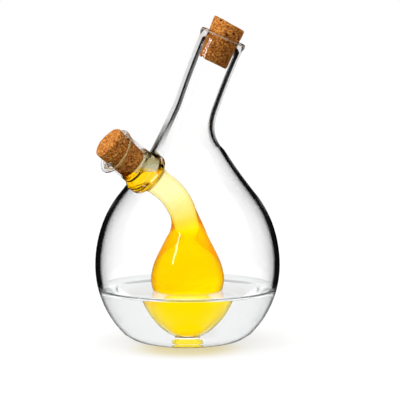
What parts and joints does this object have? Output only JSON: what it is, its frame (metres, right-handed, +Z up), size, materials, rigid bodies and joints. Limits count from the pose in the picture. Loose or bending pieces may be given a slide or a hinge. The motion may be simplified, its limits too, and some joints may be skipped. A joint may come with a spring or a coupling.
{
  "type": "oil and vinegar dispenser",
  "caption": "Round glass cruet with a leaning corked neck for vinegar and a pear-shaped oil vessel fused inside, whose corked spout comes out through the shoulder.",
  "frame": {"origin": "centre of the flat base, on the surface that the bottle stands on", "axes": "+Z up; the neck leans towards +X; the spout points towards -X, turned 26 degrees towards -Y"},
  "size_m": [0.1006, 0.1006, 0.1763],
  "materials": {
    "clear_glass": "clear blown borosilicate glass, fire polished",
    "cork": "natural cork, matte, pitted",
    "vinegar": "clear liquid",
    "oil": "clear golden yellow liquid"
  },
  "bodies": {
    "root": {"bottle": "clear_glass", "oil_vessel": "clear_glass", "neck_cork": "cork", "spout_cork": "cork", "vinegar": "vinegar", "oil": "oil"}
  },
  "joints": []
}
